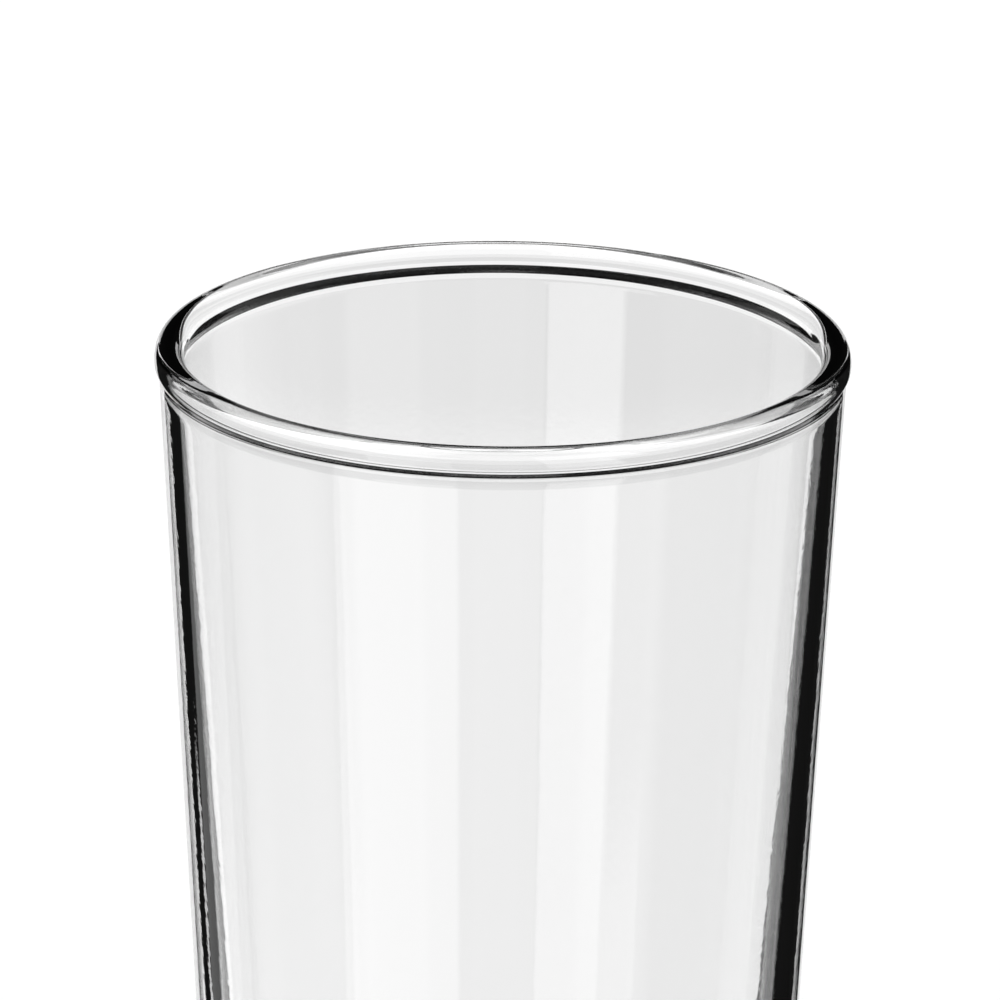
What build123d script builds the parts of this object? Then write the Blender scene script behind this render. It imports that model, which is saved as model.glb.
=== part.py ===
from build123d import *
import os

# A bar mixing glass: one piece of clear glass, open at the top, standing on its base.
#
# Millimetres, +Z up. The origin is the centre of the bearing ring that the glass stands on, and
# the whole glass is turned about Z. Each radius named here is a distance from that axis, unless
# its comment says that it rounds a corner.

# Overall size
RIM_DIAMETER = 88.9  # across the widest circle of the bead, 3 1/2 in
HEIGHT = 149.2  # from the bearing ring to the crown of the bead, 5 7/8 in

# The bead round the mouth: a full crown over a tighter lower edge
CROWN_RISE = 2.4  # from the bead's widest circle up to its crown
CROWN_TO_OUTSIDE = 2.02
CROWN_TO_MOUTH = 1.84
OUTER_FULLNESS = 0.75  # how square the crown's outer side is: 0.55 is a quarter of an ellipse
INNER_FULLNESS = 0.52  # and its inner side
LOWER_EDGE_OUTSIDE = 1.27  # rounds the bead in under its widest circle
LOWER_EDGE_INSIDE = 2.1  # rounds the bead out under the mouth
OUTER_STEP = 0.5  # how far the bead stands out beyond the wall
OUTER_HOLLOW = 0.77  # rounds the corner between bead and wall, outside
INNER_HOLLOW = 2.7  # rounds the corner between bead and bore

# The wall, whose two faces are straight cones
OUTER_TAPER = 0.05  # radius lost for each millimetre down
WALL_AT_MOUTH = 2.1
WALL_AT_FLOOR = 3.7

# The base
FLOOR_THICKNESS = 11.0  # from the bearing ring to the inner floor, at its edge
FLOOR_DISH = 1.0  # how much lower the inner floor is at its centre
FLOOR_CORNER = 9.0  # rounds the corner between floor and bore
HEEL = 3.5  # rounds the corner between wall and bearing ring
RING_WIDTH = 5.0  # the flat bearing ring
PUSH_UP = 2.0  # how far the underside rises inside the ring, at the centre

RIM_RADIUS = RIM_DIAMETER / 2
CROWN_RADIUS = RIM_RADIUS - CROWN_TO_OUTSIDE
MOUTH_RADIUS = CROWN_RADIUS - CROWN_TO_MOUTH
BEAD_LEVEL = HEIGHT - CROWN_RISE
WALL_TOP_RADIUS = RIM_RADIUS - OUTER_STEP
BORE_TOP_RADIUS = WALL_TOP_RADIUS - WALL_AT_MOUTH
HEEL_RADIUS = WALL_TOP_RADIUS - OUTER_TAPER * BEAD_LEVEL
BORE_FOOT_RADIUS = HEEL_RADIUS + OUTER_TAPER * FLOOR_THICKNESS - WALL_AT_FLOOR
RING_INNER_RADIUS = HEEL_RADIUS - HEEL - RING_WIDTH


def crown_side(across, fullness):
    """One side of the crown, from the bead's widest level up to its top. Across may be negative."""
    side = CROWN_RADIUS + across
    side_handle = (side, BEAD_LEVEL + CROWN_RISE * fullness)
    top_handle = (CROWN_RADIUS + across * fullness, HEIGHT)
    return Bezier((side, BEAD_LEVEL), side_handle, top_handle, (CROWN_RADIUS, HEIGHT))


def bead():
    """The bead's half section, which ends inside the wall."""
    outer_centre = (RIM_RADIUS - LOWER_EDGE_OUTSIDE, BEAD_LEVEL)
    inner_centre = (MOUTH_RADIUS + LOWER_EDGE_INSIDE, BEAD_LEVEL)
    outer_crown = crown_side(CROWN_TO_OUTSIDE, OUTER_FULLNESS)
    inner_crown = crown_side(-CROWN_TO_MOUTH, INNER_FULLNESS)
    inner_edge = CenterArc(inner_centre, LOWER_EDGE_INSIDE, 180, 90)
    underside = Line(inner_edge @ 1, (outer_centre[0], BEAD_LEVEL - LOWER_EDGE_OUTSIDE))
    outer_edge = CenterArc(outer_centre, LOWER_EDGE_OUTSIDE, 270, 90)
    return make_face([outer_crown, inner_crown, inner_edge, underside, outer_edge])


def wall_and_base():
    """The wall's and the base's half section, with every corner still sharp."""
    floor_centre = (0, FLOOR_THICKNESS - FLOOR_DISH)
    bore_foot = (BORE_FOOT_RADIUS, FLOOR_THICKNESS)
    bore_top = (BORE_TOP_RADIUS, BEAD_LEVEL)
    wall_top = (WALL_TOP_RADIUS, BEAD_LEVEL)
    heel_corner = (HEEL_RADIUS, 0)
    ring_inner = (RING_INNER_RADIUS, 0)
    under_centre = (0, PUSH_UP)
    floor = TangentArc(floor_centre, bore_foot, tangent=(1, 0))
    wall = Polyline(bore_foot, bore_top, wall_top, heel_corner, ring_inner)
    push_up = TangentArc(under_centre, ring_inner, tangent=(1, 0))
    middle = Line(under_centre, floor_centre)
    return make_face([floor, wall, push_up, middle])


def round_corner(section, near, radius):
    """Rounds the corner of the section that lies nearest to a point."""
    corner = section.vertices().sort_by_distance(near)[0]
    return fillet(corner, radius)


def glass_body():
    """The whole glass, turned about Z from its half section."""
    section = wall_and_base() + bead()
    section = round_corner(section, (HEEL_RADIUS, 0), HEEL)
    section = round_corner(section, (BORE_FOOT_RADIUS, FLOOR_THICKNESS), FLOOR_CORNER)
    section = round_corner(section, (WALL_TOP_RADIUS, BEAD_LEVEL - LOWER_EDGE_OUTSIDE), OUTER_HOLLOW)
    section = round_corner(section, (BORE_TOP_RADIUS, BEAD_LEVEL - LOWER_EDGE_INSIDE), INNER_HOLLOW)
    return revolve(Plane.XZ * section, Axis.Z)


os.makedirs("parts", exist_ok=True)
glass = glass_body()
glass.label = "glass_body"
export_step(glass, "parts/glass_body.step")
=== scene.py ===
import math

import bpy
from mathutils import Matrix, Vector


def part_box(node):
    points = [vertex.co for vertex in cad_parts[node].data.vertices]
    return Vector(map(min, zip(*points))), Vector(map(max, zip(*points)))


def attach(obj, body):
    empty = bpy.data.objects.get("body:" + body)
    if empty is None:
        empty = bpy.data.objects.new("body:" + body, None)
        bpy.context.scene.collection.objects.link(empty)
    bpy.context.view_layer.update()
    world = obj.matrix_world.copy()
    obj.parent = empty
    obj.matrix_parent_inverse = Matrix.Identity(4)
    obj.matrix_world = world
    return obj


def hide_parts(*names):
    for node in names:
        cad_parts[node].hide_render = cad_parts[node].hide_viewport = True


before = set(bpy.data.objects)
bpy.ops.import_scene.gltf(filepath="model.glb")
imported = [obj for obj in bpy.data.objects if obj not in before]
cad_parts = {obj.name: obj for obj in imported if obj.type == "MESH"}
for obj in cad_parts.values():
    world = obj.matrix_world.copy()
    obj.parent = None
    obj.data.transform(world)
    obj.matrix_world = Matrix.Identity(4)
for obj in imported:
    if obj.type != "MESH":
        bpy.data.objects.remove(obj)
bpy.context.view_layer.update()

# A clear mixing glass, turned as one fine mesh from its half section and lit against a bright
# field. Metres, +Z up, the glass standing on Z = 0 with its axis on Z.

MM = 0.001

# ---------------------------------------------------------------- sizes of the glass

# They are the CAD model's, from its own box and its own named dimensions.
GLASS_LOW, GLASS_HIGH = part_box("glass_body")
HEIGHT = GLASS_HIGH.z
RIM_RADIUS = min(-GLASS_LOW.x, -GLASS_LOW.y, GLASS_HIGH.x, GLASS_HIGH.y)

# The bead round the mouth
CROWN_RISE = 2.4 * MM
CROWN_TO_OUTSIDE = 2.02 * MM
CROWN_TO_MOUTH = 1.84 * MM
OUTER_FULLNESS = 0.75
INNER_FULLNESS = 0.52
LOWER_EDGE_OUTSIDE = 1.27 * MM
LOWER_EDGE_INSIDE = 2.1 * MM
OUTER_STEP = 0.5 * MM
OUTER_HOLLOW = 0.77 * MM
INNER_HOLLOW = 2.7 * MM

# The wall
OUTER_TAPER = 0.05  # radius lost for each metre down
WALL_AT_MOUTH = 2.1 * MM
WALL_AT_FLOOR = 3.7 * MM

# The base
FLOOR_THICKNESS = 11.0 * MM
FLOOR_DISH = 1.0 * MM
FLOOR_CORNER = 9.0 * MM
HEEL = 3.5 * MM
RING_WIDTH = 5.0 * MM
PUSH_UP = 2.0 * MM

CROWN_RADIUS = RIM_RADIUS - CROWN_TO_OUTSIDE
MOUTH_RADIUS = CROWN_RADIUS - CROWN_TO_MOUTH
BEAD_LEVEL = HEIGHT - CROWN_RISE
WALL_TOP_RADIUS = RIM_RADIUS - OUTER_STEP
BORE_TOP_RADIUS = WALL_TOP_RADIUS - WALL_AT_MOUTH
HEEL_RADIUS = WALL_TOP_RADIUS - OUTER_TAPER * BEAD_LEVEL
BORE_FOOT_RADIUS = HEEL_RADIUS + OUTER_TAPER * FLOOR_THICKNESS - WALL_AT_FLOOR

# How finely the section is stepped, and into how many segments it is turned
WALL_STEP = 0.85 * MM
BASE_STEP = 1.2 * MM
CORNER_STEP = 0.6 * MM
BEAD_STEP = 0.17 * MM
SEGMENTS = 208
ON_AXIS = 1e-7  # a point nearer to the axis than this becomes one point in its middle


# ---------------------------------------------------------------- the half section

def straight(start, end, step):
    """Points along a line, without its first one."""
    count = max(1, round((end - start).length / step))
    return [start.lerp(end, (i + 1) / count) for i in range(count)]


def arc(centre, radius, start_angle, end_angle, step):
    """Points along an arc, without its first one."""
    count = max(2, round(radius * abs(end_angle - start_angle) / step))
    points = []
    for i in range(count):
        angle = start_angle + (end_angle - start_angle) * (i + 1) / count
        points.append(centre + radius * Vector((math.cos(angle), math.sin(angle))))
    return points


def quarter(centre, across, rise, fullness, step):
    """Points from beside the centre up and over to above it, without the first one.

    The fullness is how far along each side the curve's handle reaches: 0.55 makes an ellipse, and
    more makes it squarer.
    """
    side = centre + Vector((across, 0))
    top = centre + Vector((0, rise))
    side_handle = side + Vector((0, rise * fullness))
    top_handle = top + Vector((across * fullness, 0))
    rough_length = 1.5 * max(abs(across), rise)
    count = round(rough_length / step)
    points = []
    for i in range(count):
        u = (i + 1) / count
        v = 1 - u
        near_side = v**3 * side + 3 * v**2 * u * side_handle
        near_top = 3 * v * u**2 * top_handle + u**3 * top
        points.append(near_side + near_top)
    return points


def angle_of(vector):
    """Its angle in the section's plane, from straight outward."""
    return math.atan2(vector.y, vector.x)


def dome(edge_radius, rise, edge_level, step):
    """Points along a shallow dome from its edge in to the axis. Its rise may be negative."""
    ball = (edge_radius**2 + rise**2) / (2 * abs(rise))
    up = 1 if rise > 0 else -1
    count = round(edge_radius / step)
    points = []
    for i in range(count):
        radius = edge_radius * (1 - (i + 1) / count)
        fall = ball - math.sqrt(ball**2 - radius**2)
        points.append(Vector((radius, edge_level + rise - up * fall)))
    return points


def hollow(wall_point, wall_down, outward, hollow_radius, edge_centre, edge_radius):
    """The centre of the arc that fills the corner between a wall and the bead's lower edge."""
    start = wall_point + outward * hollow_radius - edge_centre
    along = start.dot(wall_down)
    reach = (hollow_radius + edge_radius) ** 2
    down = -along + math.sqrt(along**2 - start.length_squared + reach)
    return wall_point + outward * hollow_radius + wall_down * down


def corner_centre(corner, direction_a, direction_b, radius):
    """The centre of an arc that rounds a corner between two lines, and how far back it starts."""
    half = direction_a.angle(direction_b) / 2
    centre = corner + (direction_a + direction_b).normalized() * (radius / math.sin(half))
    return centre, radius / math.tan(half)


def outer_section():
    """From the centre of the underside, out over the ring and the heel and up to the bead."""
    heel_corner = Vector((HEEL_RADIUS, 0))
    wall_top = Vector((WALL_TOP_RADIUS, BEAD_LEVEL))
    up = (wall_top - heel_corner).normalized()
    inward = Vector((-1, 0))
    heel_centre, back = corner_centre(heel_corner, up, inward, HEEL)
    ring_outer = heel_corner + inward * back
    ring_inner = Vector((HEEL_RADIUS - HEEL - RING_WIDTH, 0))
    under = dome(ring_inner.x, PUSH_UP, 0, BASE_STEP)
    under.reverse()
    points = under + [ring_inner]
    points += straight(ring_inner, ring_outer, BASE_STEP)
    wall_foot = heel_corner + up * back
    points += arc(heel_centre, HEEL, -math.pi / 2, angle_of(wall_foot - heel_centre), CORNER_STEP)

    edge_centre = Vector((RIM_RADIUS - LOWER_EDGE_OUTSIDE, BEAD_LEVEL))
    outward = Vector((up.y, -up.x))
    centre = hollow(wall_top, -up, outward, OUTER_HOLLOW, edge_centre, LOWER_EDGE_OUTSIDE)
    wall_end = centre - outward * OUTER_HOLLOW
    points += straight(wall_foot, wall_end, WALL_STEP)
    meet = angle_of(edge_centre - centre)
    points += arc(centre, OUTER_HOLLOW, angle_of(-outward), meet, BEAD_STEP / 2)
    points += arc(edge_centre, LOWER_EDGE_OUTSIDE, angle_of(centre - edge_centre), 0, BEAD_STEP)
    return points


def crown_section():
    """Over the top of the bead, from its widest circle to the mouth."""
    base = Vector((CROWN_RADIUS, BEAD_LEVEL))
    points = quarter(base, CROWN_TO_OUTSIDE, CROWN_RISE, OUTER_FULLNESS, BEAD_STEP)
    inner = quarter(base, -CROWN_TO_MOUTH, CROWN_RISE, INNER_FULLNESS, BEAD_STEP)
    mouth = base - Vector((CROWN_TO_MOUTH, 0))
    return points + inner[-2::-1] + [mouth]


def inner_section():
    """From the mouth down the bore to the centre of the floor."""
    foot = Vector((BORE_FOOT_RADIUS, FLOOR_THICKNESS))
    top = Vector((BORE_TOP_RADIUS, BEAD_LEVEL))
    down = (foot - top).normalized()
    inward = Vector((down.y, -down.x))
    edge_centre = Vector((MOUTH_RADIUS + LOWER_EDGE_INSIDE, BEAD_LEVEL))
    centre = hollow(top, down, inward, INNER_HOLLOW, edge_centre, LOWER_EDGE_INSIDE)
    meet = angle_of(centre - edge_centre) % (2 * math.pi)
    points = arc(edge_centre, LOWER_EDGE_INSIDE, math.pi, meet, BEAD_STEP)
    wall_start = centre - inward * INNER_HOLLOW
    points += arc(centre, INNER_HOLLOW, meet - math.pi, angle_of(-inward), BEAD_STEP)

    level = Vector((-1, 0))
    corner, back = corner_centre(foot, -down, level, FLOOR_CORNER)
    corner_start = foot - down * back
    corner_end = foot + level * back
    points += straight(wall_start, corner_start, WALL_STEP)
    points += arc(corner, FLOOR_CORNER, angle_of(corner_start - corner), -math.pi / 2, CORNER_STEP)
    points += dome(corner_end.x, -FLOOR_DISH, FLOOR_THICKNESS, BASE_STEP)
    return points


# ---------------------------------------------------------------- the mesh

def lathe(points, segments):
    """Turns a section, whose first and last points lie on the axis, into a closed mesh."""
    verts = []
    rings = []
    for radius, height in points:
        if radius < ON_AXIS:
            rings.append([len(verts)])
            verts.append((0, 0, height))
            continue
        rings.append(list(range(len(verts), len(verts) + segments)))
        for s in range(segments):
            turn = 2 * math.pi * s / segments
            verts.append((radius * math.cos(turn), radius * math.sin(turn), height))
    faces = []
    for low, high in zip(rings, rings[1:]):
        for s in range(segments):
            t = (s + 1) % segments
            if len(low) == 1:
                faces.append((low[0], high[t], high[s]))
            elif len(high) == 1:
                faces.append((low[s], low[t], high[0]))
            else:
                faces.append((low[s], low[t], high[t], high[s]))
    return verts, faces


def build_glass():
    """The glass as one closed mesh."""
    section = outer_section() + crown_section() + inner_section()
    verts, faces = lathe([tuple(p) for p in section], SEGMENTS)
    mesh = bpy.data.meshes.new("mixing_glass")
    mesh.from_pydata(verts, [], faces)
    mesh.validate()
    mesh.shade_smooth()
    glass = bpy.data.objects.new("mixing_glass", mesh)
    bpy.context.collection.objects.link(glass)
    return glass


# ---------------------------------------------------------------- materials

GLASS_IOR = 1.52
FLOOR_GREY = 0.95

# The relief of the glass's skin
WAVE_LENGTH = 14 * MM
WAVE_HEIGHT = 0.012 * MM
RIPPLE_LENGTH = 1.0 * MM
RIPPLE_HEIGHT = 0.002 * MM
PIT_SPACING = 13 * MM
PIT_RADIUS = 0.16 * MM
PIT_DEPTH = 0.03 * MM


def maths(nodes, links, operation, *values):
    """A Math node fed with sockets or plain numbers."""
    node = nodes.new("ShaderNodeMath")
    node.operation = operation
    for into, value in zip(node.inputs, values):
        if isinstance(value, (int, float)):
            into.default_value = value
        else:
            links.new(value, into)
    return node.outputs[0]


def noise_height(nodes, links, place, length, height):
    """Smooth noise of one size, as a height in metres."""
    texture = nodes.new("ShaderNodeTexNoise")
    texture.inputs["Scale"].default_value = 1 / length
    texture.inputs["Detail"].default_value = 1.0
    links.new(place, texture.inputs["Vector"])
    return maths(nodes, links, "MULTIPLY", texture.outputs["Fac"], height)


def pit_height(nodes, links, place):
    """Small round pits, far apart, as a height in metres."""
    cells = nodes.new("ShaderNodeTexVoronoi")
    cells.inputs["Scale"].default_value = 1 / PIT_SPACING
    links.new(place, cells.inputs["Vector"])
    bowl = nodes.new("ShaderNodeMapRange")
    bowl.interpolation_type = "SMOOTHSTEP"
    bowl.inputs["From Max"].default_value = PIT_RADIUS / PIT_SPACING
    bowl.inputs["To Min"].default_value = -PIT_DEPTH
    bowl.inputs["To Max"].default_value = 0.0
    links.new(cells.outputs["Distance"], bowl.inputs["Value"])
    return bowl.outputs["Result"]


def clear_glass():
    """Fire-polished soda-lime glass: clear, with slow waves, fine ripples and a few tiny pits."""
    material = bpy.data.materials.new("clear_glass")
    material.use_nodes = True
    nodes = material.node_tree.nodes
    links = material.node_tree.links
    shader = nodes["Principled BSDF"]
    place = nodes.new("ShaderNodeTexCoord").outputs["Object"]
    waves = noise_height(nodes, links, place, WAVE_LENGTH, WAVE_HEIGHT)
    ripples = noise_height(nodes, links, place, RIPPLE_LENGTH, RIPPLE_HEIGHT)
    pits = pit_height(nodes, links, place)
    relief = maths(nodes, links, "ADD", waves, ripples)
    relief = maths(nodes, links, "ADD", relief, pits)
    bump = nodes.new("ShaderNodeBump")
    bump.inputs["Distance"].default_value = 1.0
    links.new(relief, bump.inputs["Height"])
    links.new(bump.outputs["Normal"], shader.inputs["Normal"])
    shader.inputs["Base Color"].default_value = (1, 1, 1, 1)
    shader.inputs["Roughness"].default_value = 0.0
    shader.inputs["IOR"].default_value = GLASS_IOR
    shader.inputs["Transmission Weight"].default_value = 1.0
    return material


def pale_floor():
    """Plain matt white."""
    material = bpy.data.materials.new("pale_floor")
    material.use_nodes = True
    shader = material.node_tree.nodes["Principled BSDF"]
    shader.inputs["Base Color"].default_value = (FLOOR_GREY, FLOOR_GREY, FLOOR_GREY, 1)
    shader.inputs["Roughness"].default_value = 1.0
    shader.inputs["Specular IOR Level"].default_value = 0.0
    return material


# ---------------------------------------------------------------- studio

FLOOR_SIZE = 12.0


def build_floor():
    """The floor under the glass, which the glass itself doesn't show: it shows the panels."""
    half = FLOOR_SIZE / 2
    corners = [(-half, -half, 0), (half, -half, 0), (half, half, 0), (-half, half, 0)]
    mesh = bpy.data.meshes.new("studio_floor")
    mesh.from_pydata(corners, [], [(0, 1, 2, 3)])
    floor = bpy.data.objects.new("studio_floor", mesh)
    bpy.context.collection.objects.link(floor)
    mesh.materials.append(pale_floor())
    floor.visible_transmission = False
    floor.visible_glossy = False


# The studio is a set of soft panels on dark, each as (from, to, lowest, highest, brightness, edge).
# From and to are degrees round the glass: 0 is straight behind it from the main camera, and +90
# is to its right. Lowest and highest are degrees above the horizon. The edge is how many degrees
# the panel takes to fade out.
PANELS = [
    (-21, 15.5, -49, -28, 1.02, 0.6),  # the bright field behind the glass, by height
    (-20.3, 15.5, -28, -19, 0.91, 0.8),
    (-20.3, 15.5, -19, -7, 0.8, 0.8),
    (-19, 15.5, -7, 7.5, 0.95, 0.6),
    (-19, -3.2, -49, -7, 0.06, 1.5),  # a little more on its left
    (-66, -40.5, -49, 5, 0.5, 1.5),  # the left, beyond a dark gap
    (-121, -74, -30, 8, 0.1, 3.0),
    (-40.5, -21, -49, -31, 0.9, 1.5),  # under the gap
    (-30.5, -28, -27.5, -24, 0.9, 0.8),  # a narrow light in the gap
    (51, 72, -49, 5, 0.4, 2.0),  # the right, beyond another dark gap
    (15.5, 51, -49, -31, 0.7, 1.5),
    (72, 122, -49, -4, 0.3, 4.0),
    (122, 150, -49, 5, 0.75, 4.0),
    (150, 180, -49, -5, 0.5, 4.0),
    (-180, -165, -49, -5, 0.5, 1.0),
    (-165, -121, -33, -18, 1.35, 1.5),  # a window beside the camera, to its left
    (-164, -136, -18, -4, 1.4, 1.5),
    (-75, 60, -80, -49, 1.05, 2.0),  # the table
    (60, 180, -80, -49, 0.12, 2.0),
    (-180, -75, -80, -49, 0.12, 2.0),
    (-180, 180, -90, -80, 1.05, 2.0),
    (-180, 180, 64, 90, 1.0, 4.0),  # a soft light overhead
]
# These light only what is seen straight through the glass, and not its reflections.
BACKDROPS = [
    (-66, -40.5, -49, 5, 0.4, 1.5),
    (-121, -66, -49, 8, 0.7, 3.0),
]
DARK = 0.008
FIELD = 21.0  # degrees each way over which the bright field gains towards its sides
FIELD_EDGE = 0.6
FIELD_GAIN = 0.75
STUDIO_WHITE = 1.15  # what the camera and the floor see of the studio


def rise_at(nodes, links, angle, degrees, edge):
    """Goes from 0 to 1 as the angle passes the given one."""
    start = maths(nodes, links, "SUBTRACT", angle, math.radians(degrees - edge / 2))
    share = nodes.new("ShaderNodeMapRange")
    share.interpolation_type = "SMOOTHSTEP"
    share.inputs["From Max"].default_value = math.radians(edge)
    links.new(start, share.inputs["Value"])
    return share.outputs["Result"]


def between(nodes, links, angle, low, high, edge):
    """1 between the two angles, else 0. An end at half a turn or straight up or down has no edge."""
    inside = 1.0 if low in (-180, -90) else rise_at(nodes, links, angle, low, edge)
    if high in (180, 90):
        return inside
    beyond = rise_at(nodes, links, angle, high, edge)
    return maths(nodes, links, "SUBTRACT", inside, beyond)


def panel_light(nodes, links, turn, height, panels, start):
    """How bright the panels are in the direction given by two angles, on top of a start."""
    seen = start
    for left, right, lowest, highest, brightness, edge in panels:
        across = between(nodes, links, turn, left, right, edge)
        upward = between(nodes, links, height, lowest, highest, edge)
        share = maths(nodes, links, "MULTIPLY", across, upward)
        seen = maths(nodes, links, "MULTIPLY_ADD", share, brightness, seen)
    return seen


def build_world():
    """Plain white for the camera and the floor, and the panels in the glass."""
    world = bpy.data.worlds.new("studio")
    bpy.context.scene.world = world
    world.use_nodes = True
    nodes = world.node_tree.nodes
    links = world.node_tree.links
    nodes.clear()
    coords = nodes.new("ShaderNodeTexCoord")
    split = nodes.new("ShaderNodeSeparateXYZ")
    links.new(coords.outputs["Generated"], split.inputs[0])
    turn = maths(nodes, links, "ARCTAN2", split.outputs["X"], split.outputs["Y"])
    height = maths(nodes, links, "ARCSINE", split.outputs["Z"])
    path = nodes.new("ShaderNodeLightPath")
    seen = panel_light(nodes, links, turn, height, PANELS, DARK)
    behind = panel_light(nodes, links, turn, height, BACKDROPS, 0.0)
    straight_through = maths(nodes, links, "LESS_THAN", path.outputs["Glossy Depth"], 0.5)
    seen = maths(nodes, links, "MULTIPLY_ADD", behind, straight_through, seen)

    aside = maths(nodes, links, "DIVIDE", turn, math.radians(FIELD))
    aside = maths(nodes, links, "MULTIPLY", aside, aside)
    aside = maths(nodes, links, "MINIMUM", aside, 1.0)
    field = between(nodes, links, turn, -FIELD, FIELD, FIELD_EDGE)
    gain = maths(nodes, links, "MULTIPLY", aside, field)
    gain = maths(nodes, links, "MULTIPLY_ADD", gain, FIELD_GAIN, 1.0)
    seen = maths(nodes, links, "MULTIPLY", seen, gain)

    to_camera = path.outputs["Is Camera Ray"]
    to_floor = path.outputs["Is Diffuse Ray"]
    direct = maths(nodes, links, "MAXIMUM", to_camera, to_floor)
    mix = nodes.new("ShaderNodeMix")
    links.new(direct, mix.inputs["Factor"])
    links.new(seen, mix.inputs["A"])
    mix.inputs["B"].default_value = STUDIO_WHITE
    background = nodes.new("ShaderNodeBackground")
    links.new(mix.outputs["Result"], background.inputs["Color"])
    output = nodes.new("ShaderNodeOutputWorld")
    links.new(background.outputs[0], output.inputs["Surface"])


def build_camera():
    """The photographer's view: from 22 rim radii away, 18 degrees above the rim."""
    elevation = math.radians(18.03)
    distance = 22 * RIM_RADIUS
    target = Vector((0, 0, HEIGHT - 2.8 * MM))  # the centre of the rim
    sensor = 36.0
    rim_in_frame = 0.3483  # the rim's radius, as a share of the frame's width
    tilt_down = 0.1389  # how far above the middle the rim's centre stands, in the same measure
    pan = 0.0017  # how far beside the middle it stands
    roll = math.radians(0.48)
    data = bpy.data.cameras.new("camera")
    camera = bpy.data.objects.new("camera", data)
    bpy.context.collection.objects.link(camera)
    bpy.context.scene.camera = camera
    data.sensor_width = sensor
    data.lens = sensor * rim_in_frame * distance / RIM_RADIUS
    data.clip_start = 0.01
    data.clip_end = 100
    back = Vector((0, -math.cos(elevation), math.sin(elevation)))
    aim = (-back).to_track_quat("-Z", "Y").to_matrix()
    frames = distance / RIM_RADIUS * rim_in_frame
    tilt = Matrix.Rotation(-math.atan(tilt_down / frames), 3, "X")
    turn = Matrix.Rotation(math.atan(pan / frames), 3, "Y")
    spin = Matrix.Rotation(roll, 3, "Z")
    camera.rotation_mode = "QUATERNION"
    camera.rotation_quaternion = (aim @ turn @ tilt @ spin).to_quaternion()
    camera.location = target + back * distance


# ---------------------------------------------------------------- the scene

scene = bpy.context.scene
scene.view_settings.view_transform = "Standard"
scene.cycles.max_bounces = 12
scene.cycles.transmission_bounces = 12
scene.cycles.glossy_bounces = 2  # light that runs round inside the wall fades to black

glass = build_glass()
glass.data.materials.append(clear_glass())
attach(glass, "root")
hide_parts("glass_body")
build_floor()
build_world()
build_camera()
